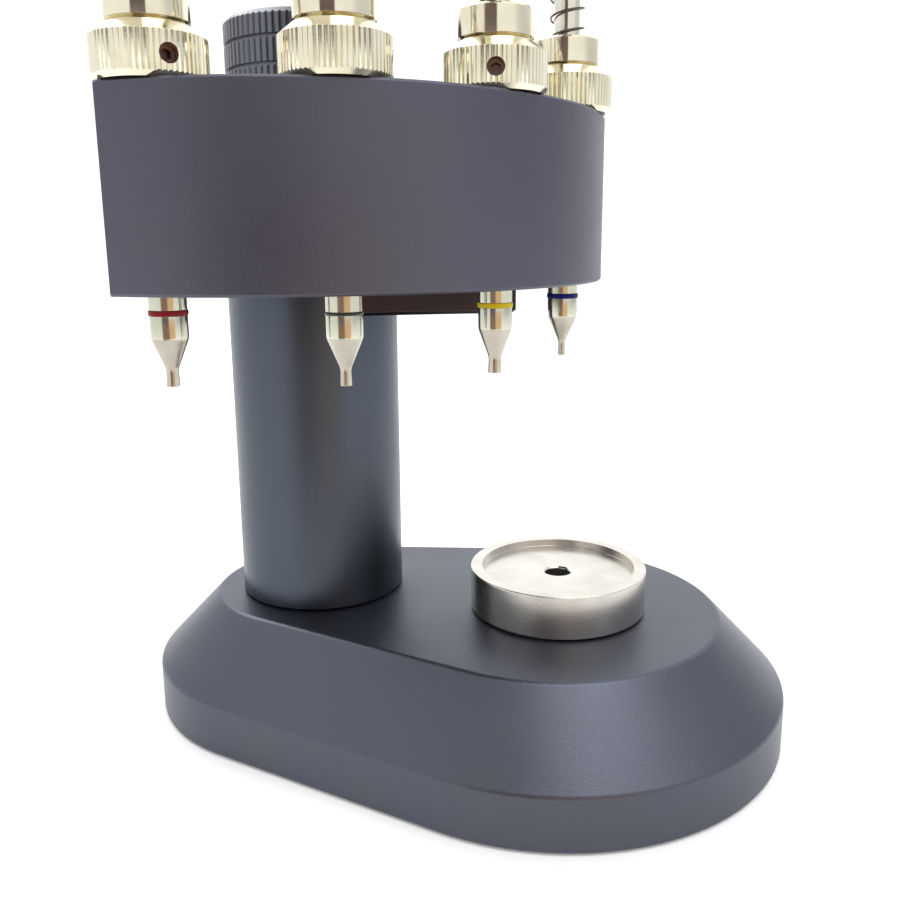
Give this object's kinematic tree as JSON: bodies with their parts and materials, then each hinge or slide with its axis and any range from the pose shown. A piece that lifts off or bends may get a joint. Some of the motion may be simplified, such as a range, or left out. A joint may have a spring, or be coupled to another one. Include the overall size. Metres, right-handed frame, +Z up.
{
  "type": "hand-setting press",
  "caption": "Watchmaker's bench press: tapered base, round column, movement holder, and a quarter-round turret that turns sprung, colour-banded plungers over the holder.",
  "frame": {"origin": "on the column's axis, at the flat face that the press rests on", "axes": "+Z up along the column; +X from the column towards the movement holder; the idle plungers stand on -Y"},
  "size_m": [0.1154, 0.0935, 0.1611],
  "materials": {
    "anodised_aluminium": "fine bead-blasted, dark blue-grey anodised",
    "dark_anodised_aluminium": "turned and milled, black anodised with a warm cast",
    "stainless_steel": "turned, bright floor and satin side",
    "nickel_plate": "polished nickel plate over brass, straight knurl",
    "polished_steel": "polished shaft, satin cone",
    "turned_steel": "turned",
    "black_steel": "black oxide",
    "spring_steel": "drawn wire",
    "bronze": "machined bearing bronze",
    "pad_rubber": "matte, fine grain",
    "band_blue": "enamel",
    "band_yellow": "enamel",
    "band_black": "enamel",
    "band_red": "enamel"
  },
  "bodies": {
    "stand": {"base": "anodised_aluminium", "base_pad": "pad_rubber", "column": "anodised_aluminium", "column_bolt": "black_steel", "index_arm": "dark_anodised_aluminium", "pivot_post": "turned_steel", "stop_pin": "turned_steel", "detent_plug": "black_steel", "lower_washer": "bronze"},
    "detent": {"detent_ball": "turned_steel", "detent_spring": "spring_steel"},
    "holder": {"movement_holder": "stainless_steel"},
    "turret": {"turret": "anodised_aluminium", "pivot_bush": "bronze", "upper_washer": "turned_steel", "bush_blue": "turned_steel", "bush_yellow": "turned_steel", "bush_black": "turned_steel", "bush_red": "turned_steel"},
    "knob": {"clamp_knob": "dark_anodised_aluminium"},
    "plunger_blue": {"rod_blue": "polished_steel", "tip_blue": "polished_steel", "band_blue": "band_blue", "spring_blue": "spring_steel", "button_blue": "nickel_plate"},
    "depth_ring_blue": {"ring_blue": "nickel_plate", "set_screw_blue": "black_steel"},
    "plunger_yellow": {"rod_yellow": "polished_steel", "tip_yellow": "polished_steel", "band_yellow": "band_yellow", "spring_yellow": "spring_steel", "button_yellow": "nickel_plate"},
    "depth_ring_yellow": {"ring_yellow": "nickel_plate", "set_screw_yellow": "black_steel"},
    "plunger_black": {"rod_black": "polished_steel", "tip_black": "polished_steel", "band_black": "band_black", "spring_black": "spring_steel", "button_black": "nickel_plate"},
    "depth_ring_black": {"ring_black": "nickel_plate", "set_screw_black": "black_steel"},
    "plunger_red": {"rod_red": "polished_steel", "tip_red": "polished_steel", "band_red": "band_red", "spring_red": "spring_steel", "button_red": "nickel_plate"},
    "depth_ring_red": {"ring_red": "nickel_plate", "set_screw_red": "black_steel"}
  },
  "joints": [
    {"name": "turret_turn", "type": "hinge", "parent": "stand", "child": "turret", "pos_m": [0, 0, 0.0914], "axis": [0, 0, 1], "range_deg": [0, 90]},
    {"name": "knob_turn", "type": "hinge", "parent": "stand", "child": "knob", "pos_m": [0, 0, 0.1134], "axis": [0, 0, 1], "range_deg": [0, 180]},
    {"name": "holder_lift", "type": "slide", "parent": "stand", "child": "holder", "axis": [0, 0, 1], "range_m": [0, 0.007]},
    {"name": "detent_press", "type": "slide", "parent": "stand", "child": "detent", "axis": [0, 0, -1], "range_m": [0, 0.0005], "stiffness_N_per_m": 400, "springref_m": -0.0005, "deforming": ["detent_spring"]},
    {"name": "press_blue", "type": "slide", "parent": "turret", "child": "plunger_blue", "axis": [0, 0, -1], "range_m": [0, 0.033], "stiffness_N_per_m": 120, "springref_m": -0.01, "deforming": ["spring_blue"]},
    {"name": "depth_blue", "type": "hinge", "parent": "turret", "child": "depth_ring_blue", "pos_m": [0.0454, 0, 0.11], "axis": [0, 0, 1], "range_deg": [0, 360]},
    {"name": "press_yellow", "type": "slide", "parent": "turret", "child": "plunger_yellow", "axis": [0, 0, -1], "range_m": [0, 0.033], "stiffness_N_per_m": 120, "springref_m": -0.01, "deforming": ["spring_yellow"]},
    {"name": "depth_yellow", "type": "hinge", "parent": "turret", "child": "depth_ring_yellow", "pos_m": [0.03932, -0.0227, 0.11], "axis": [0, 0, 1], "range_deg": [0, 360]},
    {"name": "press_black", "type": "slide", "parent": "turret", "child": "plunger_black", "axis": [0, 0, -1], "range_m": [0, 0.033], "stiffness_N_per_m": 120, "springref_m": -0.01, "deforming": ["spring_black"]},
    {"name": "depth_black", "type": "hinge", "parent": "turret", "child": "depth_ring_black", "pos_m": [0.0227, -0.03932, 0.11], "axis": [0, 0, 1], "range_deg": [0, 360]},
    {"name": "press_red", "type": "slide", "parent": "turret", "child": "plunger_red", "axis": [0, 0, -1], "range_m": [0, 0.033], "stiffness_N_per_m": 120, "springref_m": -0.01, "deforming": ["spring_red"]},
    {"name": "depth_red", "type": "hinge", "parent": "turret", "child": "depth_ring_red", "pos_m": [0, -0.0454, 0.11], "axis": [0, 0, 1], "range_deg": [0, 360]}
  ]
}
